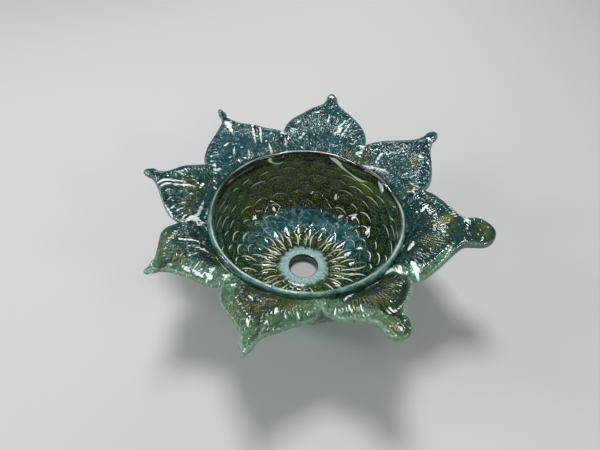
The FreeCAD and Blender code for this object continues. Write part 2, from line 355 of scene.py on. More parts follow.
LEAVES = {
    1: dict(
        full=(1.15, 1.15), waist=(5.2, 4.9), tip=7, drop=1, depth=1.9, lift=1.3, moss=0.45, bubbles=0.65,
        fleck=(0.9, 0.9), milk=(5, 0), clear_tip=True, knot=1, ridges=(0.45, 1, 0.3, 3.6), crests=0.5,
    ),
    2: dict(
        full=(1.3, 1), waist=(2.4, 2.4), tip=2.5, drop=1.3, depth=1.6, moss=0.1, bubbles=1,
        fleck=(0.9, 0.8), knot=0.6, white_line=(4.5, 0.9, 0.2),
    ),
    3: dict(
        full=(1.45, 1.4), waist=(2.9, 2.2), tip=1.8, drop=1.5, depth=1.5, bubbles=0.8,
        fleck=(1, 0.35), knot=0.85,
    ),
    4: dict(
        full=(0.95, 1.2), waist=(1.8, 1.5), tip=1.3, drop=2.4, depth=1.2, neck=0.95, bubbles=0.45,
        fleck=(0.7, 0.45), knot=0.8,
    ),
    5: dict(
        full=(1.1, 1.3), waist=(2.9, 1.6), tip=1.8, drop=1.6, depth=1.5, lift=1.1, moss=0.3, bubbles=0.6,
        fleck=(0.8, 0.3), knot=0.7,
    ),
    6: dict(
        full=(1.9, 0.95), waist=(3.4, 1.6), tip=1.6, drop=2.4, depth=1.3, lift=1.6, roll=9, moss=0.45,
        bubbles=0.45, fleck=(0.9, 0.5), milk=(0, 9), milky_tip=True, speckle=0.26, knot=1.1,
    ),
    7: dict(
        full=(1.25, 0.92), waist=(2.7, 1.8), tip=1.4, drop=2.8, depth=1.4, neck=0.96, lift=1.8, roll=9,
        moss=1, bubbles=0.1, fleck=(1, 0.6), milk=(7, 9), milky_tip=True, knot=0.6,
        white_line=(2.4, 0.5, 0), gap=True,
    ),
    8: dict(
        full=(0.9, 1), waist=(3.6, 4.7), tip=4.9, drop=1, depth=1.9, lift=1.8, roll=9, moss=0.9,
        bubbles=0.12, fleck=(1, 0.5), milk=(8, 2), knot=0.3, white_line=(2.9, 1.1, 0), gap=True,
        ridges=(0.4, -0.2, 1, 2.6), crests=0.12,
    ),
}

# Clouds of gold in each leaf, in millimetres: distance from the bowl's axis, distance to the left of the
# leaf's middle, and half length and half width.
CLOUDS = {
    1: [(53.5, 6.5, 3, 2.5), (49, -6, 4, 3), (52, 1.5, 4, 4), (65.5, 1.5, 2.2, 5.5)],
    2: [(42, 14, 3, 3), (42, -16, 3, 4), (51.5, -5, 3, 3)],
    3: [(39.5, -13.5, 3, 3), (64, -1.5, 2, 1.5)],
    4: [(40.5, -11, 3, 3)],
    5: [(49.5, -1.5, 3.5, 3.5), (47.5, 5, 3.5, 4), (46, 11, 2, 2)],
    6: [(54, -8, 3, 2.5), (57.5, -2.5, 2, 2.5), (54, 1.6, 2.5, 2.5), (41.5, 1.5, 3, 3), (39.5, 7, 2, 3)],
    7: [(45.5, -6, 2.5, 4), (53.4, -8, 3, 4), (53, -2, 3, 4), (47, 3, 3, 4), (46, 8, 2.5, 4)],
    8: [
        (51, 3, 4, 3.5), (50, -3, 3, 4), (49, -6, 2, 3), (45, 9, 2, 3), (64, -2, 5, 1.6),
        (62.5, 1.2, 5, 1.3),
    ],
}

# Painted highlights: bright strokes in each leaf, where light would catch its folds, in millimetres: both
# ends as distance from the bowl's axis and distance to the left of the leaf's middle, and half width.
STROKES = {
    1: [
        (44.3, 10.1, 45.7, 12.9, 0.9), (38.5, 6.6, 39.9, 7.5, 0.8), (38.5, -8.5, 41, -4, 1.1),
        (42.5, -9.7, 43.5, -5.8, 0.8), (43.4, -16.4, 46.1, -22.4, 1.4), (42, -24, 43.9, -23.3, 1.2),
        (59.8, 5.3, 61.2, 3.2, 0.9),
    ],
    2: [(64, 0.2, 64.8, -2.5, 0.5), (55, -4.5, 55.3, -7.1, 0.5), (43.7, 7.9, 47.1, 8.3, 0.7)],
    3: [
        (47.5, -4.5, 50.9, -7.7, 0.9), (49.6, -5.1, 55.2, -8.8, 0.5), (46.1, -7.5, 53.7, -11, 0.45),
        (43.7, 11.6, 45.8, 9, 0.8), (49.5, 14, 51.8, 12.1, 0.45), (51.1, -0.7, 55.7, -0.8, 0.45),
        (59.2, -6.4, 59.7, -8.4, 0.5),
    ],
    4: [
        (59, 1.1, 52.1, 2.4, 1.1), (44.8, -0.3, 43, 0.1, 0.6), (53, -8.5, 45.3, -4.9, 0.45),
        (51.1, -11.2, 44.9, -7.6, 0.45), (43.3, -10.8, 39.8, -10.3, 0.7), (48.8, 9.5, 49.7, 6.4, 0.4),
        (44.8, 7.1, 46.9, 4.7, 0.4),
    ],
    5: [
        (59.1, 3.2, 51.2, -0.9, 0.55), (58.1, 4.7, 46.8, -1.4, 0.55), (54.3, -4.2, 50.4, -4.1, 0.45),
        (53.5, 11.5, 49.7, 15.7, 0.5), (43.3, 1.8, 42.5, 14.6, 0.45), (41.9, -8.2, 39, -7.8, 0.8),
        (41, 0, 39.9, 2, 0.7),
    ],
    6: [
        (50.8, -6.6, 43.3, -3.7, 0.5), (49.1, -2.4, 43.3, 0.6, 0.45), (53.2, 5, 51.9, 8, 0.7),
        (51, 7.8, 49, 11.2, 0.5), (47.9, 10.4, 46.6, 13.7, 0.5), (58.2, 1.6, 56.4, 2.6, 0.45),
    ],
    7: [
        (44.5, -14.3, 44.9, -12.4, 0.8), (48, -6.8, 49.5, -4.5, 0.45), (55.4, 1.7, 56.4, 2.7, 0.5),
        (52.1, 3.5, 50.2, 4.2, 0.45), (50.3, 6.2, 51.7, 7.3, 0.4), (48.9, 10.1, 50.5, 11.2, 0.45),
        (57.1, -2.2, 59.3, -0.8, 0.4),
    ],
    8: [
        (45.7, -8, 43, -2.5, 0.8), (46.5, -12.4, 48.2, -13.6, 0.6), (47.9, -7.8, 50.3, -8.1, 0.4),
        (49.5, -5.2, 52.1, -5.5, 0.4), (62.6, -0.2, 64.6, 0.5, 0.4), (54.1, 2, 57, 1.8, 0.4),
    ],
}

# The neck and the notches between leaves, as distances from the bowl's axis. The two notches beside leaf_7
# are deeper than the rest.
ROOT = OUTSIDE - 0.3 * MM
NOTCH = 49.0 * MM
DEEP_NOTCH = 47.5 * MM

# Heights: of the margins, how far below them the root starts, and how far the rolled margins drop.
MARGINS = LIP + 0.4 * MM
ROOT_DROP = 5.4 * MM
MARGIN_DROP = 0.8 * MM

# How far neighbours run into each other, the glass's half thickness in the middle and at the margins, how
# far a drawn tip stays short of its CAD solid's, and how much of that solid's end its place is measured on.
OVERLAP = 0.7 * MM
HALF_THICK = 1.65 * MM
THIN_MARGIN = 1.1 * MM
TIP_SHORT = 0.6 * MM
TIP_END = 0.6 * MM

# The ribs fan out from a point inside the bowl. A row of flecks is as wide as FLECK_ROW for each rib.
FAN_FROM = 31.0 * MM
RIB_PITCH = math.radians(3.3)
FLECK_ROW = 0.9 * MM

# Points along a leaf and across it.
SECTIONS = 140
ACROSS = 201


def leaf_place(node):
    """A leaf's bearing and half angle, and its tip in its own axes, measured on its CAD solid."""
    points = np.array([vertex.co for vertex in frame["nodes"][node].data.vertices])
    middle = points.mean(axis=0)
    rough = math.atan2(middle[1], middle[0])
    angles = wrap(np.arctan2(points[:, 1], points[:, 0]) - rough)
    bearing = rough + (angles.min() + angles.max()) / 2
    half = (angles.max() - angles.min()) / 2
    x = points[:, 0] * math.cos(bearing) + points[:, 1] * math.sin(bearing)
    y = points[:, 1] * math.cos(bearing) - points[:, 0] * math.sin(bearing)
    tip = x > x.max() - TIP_END
    return bearing, half, (x.max(), y[tip].mean(), points[tip, 2].mean())


def notch_radii(number):
    """Distances from the axis to a leaf's right and left notches."""
    return (DEEP_NOTCH if number in (7, 8) else NOTCH, DEEP_NOTCH if number in (6, 7) else NOTCH)


def smooth_max(one, other, reach):
    """The larger of two lengths, with the corner between them rounded over a reach."""
    blend = np.clip(0.5 + 0.5 * (one - other) / reach, 0, 1)
    return other * (1 - blend) + one * blend + reach * blend * (1 - blend)


def half_width(leaf, x, notch, full, waist):
    """Distance of a margin from the leaf's middle line, at a place along that line."""
    share = np.clip((x - notch[0]) / (leaf.centre - notch[0]) / leaf.neck, 0, 1)
    blade = waist + (notch[1] - waist) * (1 + np.cos(math.pi * share**full)) / 2
    blade = blade * (1 - smooth(leaf.centre, leaf.end - 0.2 * leaf.tip, x))
    long = np.where(x < leaf.centre, leaf.tip, leaf.end - leaf.centre)
    bulb = leaf.tip * np.sqrt(np.clip(1 - ((x - leaf.centre) / long) ** 2, 0, None))
    joined = smooth_max(blade, bulb, 0.5 * waist)
    near_end = smooth(leaf.centre - 0.2 * leaf.tip, leaf.centre + 0.7 * (leaf.end - leaf.centre), x)
    side = x * notch[1] / notch[0] + OVERLAP
    return np.minimum(side, joined * (1 - near_end) + bulb * near_end)


def plan_leaf(number):
    """A leaf seen from above, as grids of points in its own axes: X is out along it, and Y to its left."""
    leaf = SimpleNamespace(**{**USUAL, **LEAVES[number]})
    leaf.number = number
    leaf.bearing, half, (end, leaf.lean, leaf.tip_height) = leaf_place(f"leaf_{number}")
    leaf.end = end - TIP_SHORT
    leaf.tip *= MM
    leaf.centre = leaf.end - leaf.drop * leaf.tip
    notches = [(radius * math.cos(half), radius * math.sin(half)) for radius in notch_radii(number)]
    leaf.notch = notches[0][0]
    chance = np.random.default_rng(number)
    leaf.knot_height = (1.3 + 0.5 * chance.random()) * MM
    leaf.phases = chance.random(4) * 2 * math.pi
    leaf.luck = chance.random()

    share = np.linspace(0, 1, SECTIONS)[:-1]
    along = ROOT + (leaf.end - ROOT) * (1 - (1 - share) ** 1.6)
    place = np.sin(np.linspace(-1, 1, ACROSS) * math.pi / 2)
    leaf.x0, leaf.w = np.meshgrid(along, place, indexing="ij")
    rounded = (1 - smooth(ROOT, leaf.notch + 7 * MM, leaf.x0)) ** 1.2
    edge_x = leaf.x0 - rounded * ROOT * (1 - math.cos(half))
    right, left = [half_width(leaf, edge_x, notches[i], leaf.full[i], leaf.waist[i] * MM) for i in (0, 1)]
    leaf.wide = np.where(leaf.w < 0, right, left)
    leaf.reach = np.clip((leaf.x0 - leaf.notch) / (leaf.end - leaf.tip - leaf.notch), 0, 1)
    arc = np.sin(leaf.w * half) / math.sin(half)
    leaf.y = leaf.wide * (arc * rounded + leaf.w * (1 - rounded)) + leaf.lean * leaf.reach**2
    leaf.x = leaf.x0 - rounded * ROOT * (1 - np.cos(leaf.w * half))
    return leaf


def mark_zones(leaf):
    """Each point's distance from the margins and the axis, and the zones that shape and colour share."""
    leaf.beside = leaf.wide * (1 - np.abs(leaf.w))
    leaf.margin = np.minimum(leaf.beside, np.maximum(leaf.end - leaf.x0, 0) * 1.4)
    leaf.from_axis = np.hypot(leaf.x, leaf.y)
    leaf.past_notch = smooth(NOTCH - 5 * MM, NOTCH + 4 * MM, leaf.from_axis)
    leaf.before_tip = 1 - smooth(leaf.end - 4 * leaf.tip, leaf.end - 1.5 * leaf.tip, leaf.x0)
    leaf.knots = bell(leaf.beside - 1.0 * MM, 2.6 * MM) * bell(leaf.from_axis - 45.5 * MM, 3.6 * MM)
    leaf.milk_wide = np.where(leaf.w < 0, *leaf.milk) * MM
    leaf.fan = np.arctan2(leaf.y, leaf.x0 - FAN_FROM) / RIB_PITCH
    leaf.fan = leaf.fan + 0.2 * np.sin(leaf.x0 * 500 + leaf.phases[3])
    leaf.ribbed = smooth(0.3 * MM, 2 * MM, leaf.margin) * leaf.before_tip
    leaf.ribbed = leaf.ribbed * (1 - smooth(leaf.end - 11 * MM, leaf.end - 4 * MM, leaf.x0))


def leaf_height(leaf):
    """Height of a leaf's middle surface, with its knots and waves, its rolled margins and the crease beside
    its milky ones."""
    z = MARGINS + (leaf.tip_height - MARGINS) * leaf.reach**0.8
    z = z - ROOT_DROP * (1 - smooth(ROOT, leaf.notch + 1.5 * MM, leaf.from_axis)) ** 1.2
    roll = leaf.roll * MM
    rolled = (1 - smooth(0, roll, leaf.margin)) ** 1.5 * leaf.past_notch
    lifted = smooth(0, 1.2 * roll, leaf.margin) * smooth(ROOT, ROOT + 8 * MM, leaf.from_axis)
    z = z + (leaf.lift * MM * lifted - MARGIN_DROP * rolled) * leaf.before_tip
    z = z + leaf.knot_height * leaf.knots
    wave = np.sin(leaf.x * 420 + leaf.phases[0]) * np.sin(leaf.y * 300 + leaf.phases[1])
    wave = wave + 0.6 * np.sin(leaf.y * 620 + leaf.phases[2])
    z = z + 0.28 * MM * wave * smooth(0, 6 * MM, leaf.x0 - ROOT) * leaf.before_tip
    crease = bell(leaf.beside - leaf.milk_wide, 2 * MM) * (leaf.milk_wide > 0) * leaf.past_notch
    crease = crease * (1 - smooth(leaf.end - 8 * leaf.tip, leaf.end - 4 * leaf.tip, leaf.x0))
    return z + 0.7 * MM * crease


def leaf_thickness(leaf):
    """Half thickness of a leaf: more at its knots and tip, less at its margins, and rounded at its edge."""
    thick = THIN_MARGIN + (HALF_THICK - THIN_MARGIN) * smooth(1 * MM, 6 * MM, leaf.margin)
    thick = thick * leaf.past_notch + HALF_THICK * (1 - leaf.past_notch) + 0.7 * MM * leaf.knots
    on_tip = smooth(leaf.end - 2.6 * leaf.tip, leaf.end - 1.3 * leaf.tip, leaf.x0)
    thick = thick * (1 - on_tip) + leaf.depth * MM * on_tip
    thick = np.minimum(thick, 0.9 * leaf.wide)
    return thick * np.sqrt(1 - (1 - np.clip(leaf.beside / (thick + 1e-9), 0, 1)) ** 2)


def paddle_ridges(leaf):
    """Crimped ridges on the two paddle-shaped tips."""
    height, along, across, pitch = leaf.ridges
    out = leaf.x - (leaf.end - leaf.tip)
    on_pad = 1 - smooth(0.55 * leaf.tip, 0.95 * leaf.tip, np.hypot(out, leaf.y))
    wave = np.sin((along * out + across * leaf.y) * 2 * math.pi / (pitch * MM))
    return height * MM * wave * on_pad


def surface_normals(points):
    """Unit normals of a grid of points, turned upward."""
    normal = np.cross(np.gradient(points, axis=0), np.gradient(points, axis=1))
    normal /= np.linalg.norm(normal, axis=-1, keepdims=True) + 1e-12
    return normal * np.where(normal[..., 2:] < 0, -1, 1)


def leaf_shell(leaf):
    """A leaf's vertices and faces: its top and underside, closed at its root and at the point of its tip."""
    cos, sin = math.cos(leaf.bearing), math.sin(leaf.bearing)
    middle = np.stack([leaf.x, leaf.y, leaf_height(leaf)], -1)
    normal = surface_normals(middle)
    thick = leaf_thickness(leaf)
    ribs = np.sin(leaf.fan * 2 * math.pi) * smooth(1 * MM, 5 * MM, leaf.x0 - ROOT) * leaf.ribbed
    over = thick + 0.2 * MM * ribs + leaf.pad * smooth(0, 1.5 * MM, leaf.beside)
    under = thick + 0.12 * MM * ribs
    top = middle + normal * over[..., None]
    bottom = middle - normal * under[..., None]

    loops = np.concatenate([top, bottom[:, -2:0:-1]], axis=1)
    rings, count = loops.shape[:2]
    points = np.append(loops.reshape(-1, 3), [[leaf.end, leaf.lean, leaf.tip_height]], axis=0)
    turned_x = points[:, 0] * cos - points[:, 1] * sin
    turned_y = points[:, 0] * sin + points[:, 1] * cos
    faces = ring_faces(rings, count, closed_rings=False)
    apex, last = rings * count, (rings - 1) * count
    faces += [(last + (i + 1) % count, last + i, apex) for i in range(count)]
    faces += [(i, i + 1, count - i - 1, count - i) for i in range(1, ACROSS - 2)]
    faces += [(0, 1, count - 1), (ACROSS - 2, ACROSS - 1, ACROSS)]
    return np.stack([turned_x, turned_y, points[:, 2]], 1), faces


def stroke(leaf, start_x, start_y, end_x, end_y, half):
    """1 on a short straight stroke that narrows to its ends, and falling to nothing beside it."""
    start = np.array((start_x, start_y)) * MM
    way = np.array((end_x, end_y)) * MM - start
    share = ((leaf.x - start[0]) * way[0] + (leaf.y - start[1]) * way[1]) / way.dot(way)
    share = np.clip(share, 0, 1)
    off = np.hypot(leaf.x - start[0] - way[0] * share, leaf.y - start[1] - way[1] * share)
    return bell(off, half * MM * (0.4 + 0.6 * np.sin(math.pi * share)))


def cloud(leaf, from_axis, aside, length, width):
    """1 in the middle of a cloud of gold, and falling to nothing round it."""
    return bell(leaf.x - from_axis * MM, length * MM) * bell(leaf.y - aside * MM, width * MM)


def leaf_gleam(leaf, milk):
    """Painted highlights' brightness: at knots, along the root's white line, on strokes and on ridges."""
    left_knot = LEAVES[leaf.number % len(LEAVES) + 1]["knot"]
    here = np.where(leaf.w < 0, leaf.knot, left_knot)
    knots = here * bell(leaf.beside, (1.3 + 1.1 * here) * MM) * bell(leaf.from_axis - 44.5 * MM, 4.2 * MM)
    broken = smooth(0.4, 0.9, leaf.luck + 0.4 * np.sin(leaf.y * 250))
    line = bell(leaf.off_line, 0.55 * MM) * broken * leaf.white_line[1]
    splashes = 1.1 * np.max([stroke(leaf, *measures) for measures in STROKES[leaf.number]], axis=0)
    crests = leaf.crests * smooth(0.55, 0.95, leaf.pad / (0.42 * MM))
    return np.clip(np.maximum(knots + line, splashes) + leaf.speckle * milk + crests, 0, 1)


def leaf_paint(leaf):
    """What the leaves' material reads at each point of the top's grid."""
    distance, _, slant = leaf.white_line
    leaf.off_line = leaf.from_axis - (OUTSIDE + distance * MM - slant * leaf.y)
    rooted = 1 - smooth(leaf.notch + 2 * MM, leaf.notch + 11 * MM, leaf.x0)
    # The milky margins: partly milky glass, partly painted light on the margins that face the front.
    inside_milk_and_light = smooth(leaf.milk_wide - 1.5 * MM, leaf.milk_wide + 1.5 * MM, leaf.beside)
    milk = (1 - inside_milk_and_light) * (leaf.milk_wide > 0)
    milk = milk * (1 - leaf.clear_tip * smooth(leaf.centre - 8 * MM, leaf.centre - 5 * MM, leaf.x0))
    drawn = leaf.milky_tip * smooth(leaf.centre - 13 * MM, leaf.centre - 6 * MM, leaf.x0)
    crowded = smooth(1 * MM, 4 * MM, leaf.margin) * (0.22 + 0.78 * rooted)
    return dict(
        gold=np.clip(sum(cloud(leaf, *measures) for measures in CLOUDS[leaf.number]), 0, 1),
        bubbles=leaf.bubbles * crowded,
        moss=np.full_like(leaf.x, leaf.moss),
        milk=np.maximum(milk, 0.8 * drawn),
        fan=leaf.fan,
        fleck_across=leaf.fan * leaf.fleck[0] * FLECK_ROW,
        fleck_along=leaf.x0 * leaf.fleck[1],
        ribbed=leaf.ribbed,
        # pale: a painted highlight along the very edge of each margin.
        pale=1 - smooth(0.5 * MM, 1.5 * MM, leaf.margin),
        # slot: a line of painted shade just inside the root's white line.
        slot_shade=leaf.gap * bell(leaf.off_line + 1.3 * MM, 0.9 * MM),
        gleam=leaf_gleam(leaf, milk),
    )


def both_sides(values):
    """Values of the top's grid given to the top and the underside, and the point of the tip."""
    looped = np.concatenate([values, values[:, -2:0:-1]], axis=1)
    return np.append(looped.ravel(), looped[-1].mean())


def make_leaf(number):
    """One leaf as a closed surface: ribbed, with rolled margins, knots at its notches and a drawn tip."""
    leaf = plan_leaf(number)
    mark_zones(leaf)
    leaf.pad = paddle_ridges(leaf)
    vertices, faces = leaf_shell(leaf)
    values = {label: both_sides(grid) for label, grid in leaf_paint(leaf).items()}
    return make_mesh(f"drawn_leaf_{number}", vertices, faces, values)


# ---------------- glass

IOR = 1.5

# The diamonds' painted highlights, thin bright lines: how far a petal's sides stand out in half cells, how
# far an arc rises over a dome in rows, and both lines' half widths. Petals turn into arcs above BENT_ROW at
# the sides, BENT_LEAN rows lower at the back and as much higher at the front.
PETAL_WIDE = 0.52
PETAL_LINE = 0.52 * MM
ARC_RISE = 0.46
ARC_LINE = 0.34 * MM
BENT_ROW = 3.2
BENT_LEAN = 1.4

# Half width of a pinch mark's painted highlight outline where it gleams fully, and how softly the outline
# ends.
PINCH_LINE = 1.25 * MM
PINCH_SOFT = 0.4 * MM

# Where a fleck of metal leaf ends, as a share of its cell.
FLECK_RADIUS = (0.36, 0.45)

# Colours, as linear red, green and blue.
COLOURS = dict(
    # The bowl.
    green=(0.01, 0.11, 0.055),
    # sea: the painted blue reflection on the back wall.
    sea_reflection=(0.014, 0.23, 0.31),
    # ice: the painted icy reflection.
    ice_reflection=(0.1, 0.42, 0.48),
    olive=(0.022, 0.017, 0.004),
    # groove: painted shade in the grooves between the domes.
    groove_shade=(0.005, 0.014, 0.008),
    neck=(0.06, 0.075, 0.025),
    pinch=(0.11, 0.19, 0.1),
    # outside: pale green of the bowl's outside, partly painted light.
    outside=(0.33, 0.66, 0.56),
    honey=(0.17, 0.22, 0.025),
    clear=(0.62, 0.82, 0.74),
    rim=(0.24, 0.52, 0.44),
    frosted=(0.6, 0.88, 0.9),
    ground=(0.8, 0.96, 0.97),
    # frost: the white of the bowl's painted highlights.
    highlight_white=(0.92, 1, 0.88),
    dust=(0.64, 0.66, 0.24),
    # The leaves.
    leaf=(0.058, 0.23, 0.27),
    moss=(0.032, 0.135, 0.036),
    smoke=(0.022, 0.07, 0.03),
    dim=(0.012, 0.045, 0.055),
    # milk: pale green of the milky margins, partly painted light.
    milk=(0.23, 0.44, 0.26),
    amber=(0.22, 0.22, 0.028),
    # hollow: painted shade in the rib hollows; feather: painted highlight on the rib crests.
    hollow=(0.02, 0.07, 0.075),
    rib_highlight=(0.42, 0.72, 0.7),
    # margin: the pale of the painted edge highlight.
    margin=(0.55, 0.76, 0.64),
    # slot: the dark of the painted shade beside the root's white line.
    slot_shade=(0.01, 0.045, 0.055),
    # gleam: the white of the leaves' painted highlights.
    gleam=(0.86, 0.97, 0.94),
    silver=(0.84, 0.95, 0.9),
    mossy_silver=(0.62, 0.78, 0.46),
    gold=(0.72, 0.62, 0.22),
    # Light that has gone through the glass.
    bowl_depth=(0.5, 0.76, 0.7),
    leaf_depth=(0.25, 0.52, 0.5),
    # The studio.
    floor=(0.56, 0.56, 0.555),
    pale_floor=(0.59, 0.59, 0.585),
)


class Shading:
    """A material in the making: its nodes, and a method for each kind of step that the materials take."""

    def __init__(self, name):
        self.material = bpy.data.materials.new(name)
        self.material.use_nodes = True
        self.tree = self.material.node_tree
        self.tree.nodes.clear()
        self.output = self.node("OutputMaterial")
        self.shader = self.node("BsdfPrincipled")
        self.give(self.output.inputs["Surface"], self.shader.outputs["BSDF"])
        self.where = self.node("TexCoord").outputs["Object"]

    def node(self, kind, **inputs):
        """A new shader node of a kind, with some of its inputs given."""
        made = self.tree.nodes.new(f"ShaderNode{kind}")
        self.supply(made, inputs)
        return made

    def give(self, socket, value):
        """Gives a socket a number, a colour of COLOURS by its name, or another node's output."""
        if isinstance(value, bpy.types.NodeSocket):
            self.tree.links.new(value, socket)
        elif isinstance(value, str):
            socket.default_value = (*COLOURS[value], 1)
        else:
            socket.default_value = value

    def supply(self, node, inputs):
        """Gives a node's inputs their values, by their names with underscores for spaces."""
        for label, value in inputs.items():
            self.give(node.inputs[label.replace("_", " ")], value)

    def fill(self, sockets, values):
        """Gives several sockets their values, in order."""
        for socket, value in zip(sockets, values):
            self.give(socket, value)

    def math(self, operation, *values, clamp=False):
        """A Math node's result."""
        made = self.node("Math")
        made.operation = operation
        made.use_clamp = clamp
        self.fill(made.inputs, values)
        return made.outputs[0]

    def vector(self, operation, *values, scale=None):
        """A Vector Math node's result."""
        made = self.node("VectorMath")
        made.operation = operation
        self.fill(made.inputs, values)
        if scale is not None:
            self.give(made.inputs["Scale"], scale)
        return made.outputs[0]

    def chain(self, operation, first, *others):
        """Several values put together in turn."""
        for other in others:
            first = self.math(operation, first, other)
        return first

    plus = partialmethod(math, "ADD")
    minus = partialmethod(math, "SUBTRACT")
    size = partialmethod(math, "ABSOLUTE")
    times = partialmethod(chain, "MULTIPLY")
    largest = partialmethod(chain, "MAXIMUM")

    def ramp(self, value, low, high, start=0, end=1):
        """A clamped straight ramp of a value."""
        made = self.node("MapRange", Value=value, From_Min=low, From_Max=high, To_Min=start, To_Max=end)
        return made.outputs[0]

    def mix(self, share, one, other):
        """A number between two numbers."""
        made = self.node("Mix")
        self.fill([made.inputs[place] for place in (0, 2, 3)], (share, one, other))
        return made.outputs[0]

    def layers(self, colour, *shares_and_colours):
        """Colours laid one over another, each by its share."""
        for share, over in shares_and_colours:
            made = self.node("Mix")
            made.data_type = "RGBA"
            self.fill([made.inputs[place] for place in (0, 6, 7)], (share, colour, over))
            colour = made.outputs[2]
        return colour

    def combined(self, *values):
        """A vector of several numbers."""
        made = self.node("CombineXYZ")
        self.fill(made.inputs, values)
        return made.outputs[0]

    def painted(self, *labels):
        """The values that the mesh carries on its points under some labels."""
        found = []
        for label in labels:
            made = self.node("Attribute")
            made.attribute_name = label
            found.append(made.outputs["Fac"])
        return found[0] if len(found) == 1 else found

    def noise(self, size, detail, where=None):
        """Cloudy noise whose blotches are about a size across."""
        return self.node("TexNoise", Vector=where or self.where, Scale=1 / size, Detail=detail).outputs[0]

    def foil(self, where, amount, size, tilt):
        """Flecks of metal leaf, each lying its own way: 1 on a fleck, and the surface's normal there."""
        cells = self.node("TexVoronoi", Vector=where, Scale=1 / size)
        way = cells.outputs["Color"]
        parts = self.node("SeparateColor", Color=way)
        chosen = self.math("LESS_THAN", parts.outputs[0], amount)
        end, start = FLECK_RADIUS
        fleck = self.times(self.ramp(cells.outputs["Distance"], start, end), chosen)
        off = self.vector("SUBTRACT", way, (0.5, 0.5, 0.5))
        lean = self.vector("SCALE", off, scale=self.times(fleck, tilt))
        surface = self.node("NewGeometry").outputs["Normal"]
        return fleck, self.vector("NORMALIZE", self.vector("ADD", surface, lean))

    def bump(self, height, strength, distance, normal):
        """A normal bent by a height."""
        made = self.node("Bump", Height=height, Strength=strength, Distance=distance, Normal=normal)
        return made.outputs[0]

    def absorb(self, colour, density):
        """Tints the light that passes through the glass, by the length of its way in it."""
        volume = self.node("VolumeAbsorption", Color=colour, Density=density)
        self.give(self.output.inputs["Volume"], volume.outputs[0])

    def clarity(self, clear, *things):
        """How much of the light goes through: less wherever a thing is, each by how milky it is."""
        return self.minus(clear, self.largest(*[self.times(thing, milky) for thing, milky in things]))

    def finish(self, **inputs):
        """Gives the shader its inputs and returns the material."""
        self.supply(self.shader, inputs)
        return self.material


def petal_line(glass, across, upward, half_cell):
    """A painted highlight line along each side of a petal, which starts and ends in its points."""
    belly = glass.minus(1, glass.math("POWER", glass.size(upward), 2))
    off = glass.size(glass.minus(across, glass.times(belly, PETAL_WIDE)))
    line = glass.times(glass.math("POWER", belly, 1.5), PETAL_LINE)
    return glass.ramp(glass.times(off, half_cell), line, 0, 0, 2)


def arc_line(glass, across, upward, sideways):
    """A painted highlight line over each dome, fainter on the back and front walls than at the sides."""
    bow = glass.minus(1, glass.math("POWER", across, 2))
    off = glass.size(glass.minus(upward, glass.times(bow, ARC_RISE)))
    line = glass.times(glass.ramp(bow, 0.2, 0.9), ARC_LINE)
    arc = glass.ramp(glass.times(off, ROW), line, 0, 0, 2)
    return glass.times(arc, glass.ramp(sideways, 0.3, 0.75, 0.22, 1))


def diamond_highlights(glass):
    """The diamonds' painted highlight lines: both sides of each petal low in the bowl, and over each dome
    above.

    Each line has its own luck, and the upper side of a petal, where the light falls, is favoured."""
    plus, minus, times, size = glass.plus, glass.minus, glass.times, glass.size
    parts = glass.node("SeparateXYZ", Vector=glass.where)
    x, y = parts.outputs["X"], parts.outputs["Y"]
    radius = glass.math("SQRT", plus(glass.math("POWER", x, 2), glass.math("POWER", y, 2)))
    cell = times(glass.math("ARCTAN2", y, x), CELLS / (2 * math.pi))
    half_row = times(glass.painted("row"), 0.5)
    one, other = plus(cell, half_row), minus(cell, half_row)
    one_part = minus(glass.math("FRACT", one), 0.5)
    other_part = minus(glass.math("FRACT", other), 0.5)
    side = plus(one_part, other_part)
    across, upward = size(side), minus(one_part, other_part)
    one_cell, other_cell = glass.math("FLOOR", one), glass.math("FLOOR", other)
    cell_row = minus(one_cell, other_cell)

    petal = petal_line(glass, across, upward, times(radius, math.pi / CELLS))
    petal = times(petal, glass.math("GREATER_THAN", cell_row, 0.5))
    arc = arc_line(glass, across, upward, glass.math("DIVIDE", size(x), radius))
    backward = times(glass.math("DIVIDE", y, radius), BENT_LEAN)
    bent = glass.math("GREATER_THAN", plus(cell_row, backward), BENT_ROW)

    luck = glass.node("TexWhiteNoise", Vector=glass.combined(one_cell, other_cell, glass.math("SIGN", side)))
    upper = glass.math("SIGN", times(side, x))
    favour = glass.mix(bent, times(upper, 0.36), 0.12)
    lit = glass.ramp(plus(luck.outputs["Value"], favour), 0.34, 0.7, 0.05, 1)
    return glass.math("MULTIPLY", glass.mix(bent, petal, arc), lit, clamp=True)


